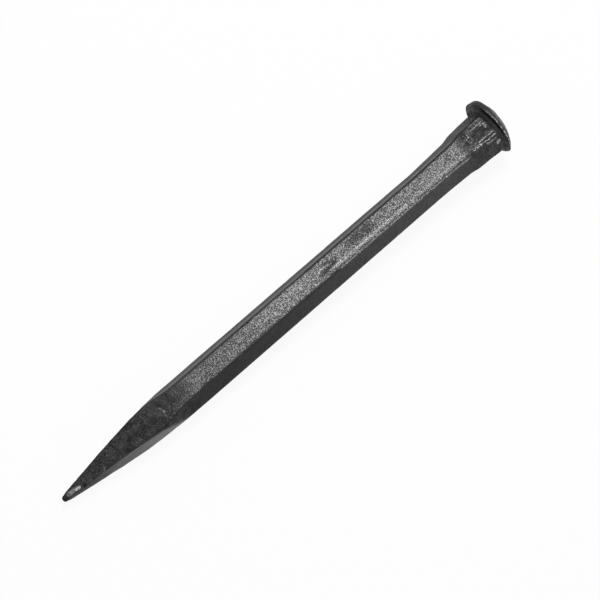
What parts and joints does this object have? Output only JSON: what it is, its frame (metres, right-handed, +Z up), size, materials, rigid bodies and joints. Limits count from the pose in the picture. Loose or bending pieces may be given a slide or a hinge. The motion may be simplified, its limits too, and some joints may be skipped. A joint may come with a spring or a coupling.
{
  "type": "forged track spike",
  "caption": "Forged hexagonal steel spike with a square point, a flared neck and a domed round head, driven by hammer to pin track or plates to the ground.",
  "frame": {"origin": "middle of the footprint, on the surface that the spike lies on", "axes": "+X from the point towards the head, +Z up, +Y to the left of the spike seen from above with the head ahead"},
  "size_m": [0.2498, 0.0262, 0.0263],
  "materials": {
    "forge_scale_steel": "matt black forge scale over steel, bare metal on struck edges"
  },
  "bodies": {
    "root": {"forged_spike": "forge_scale_steel"}
  },
  "joints": []
}
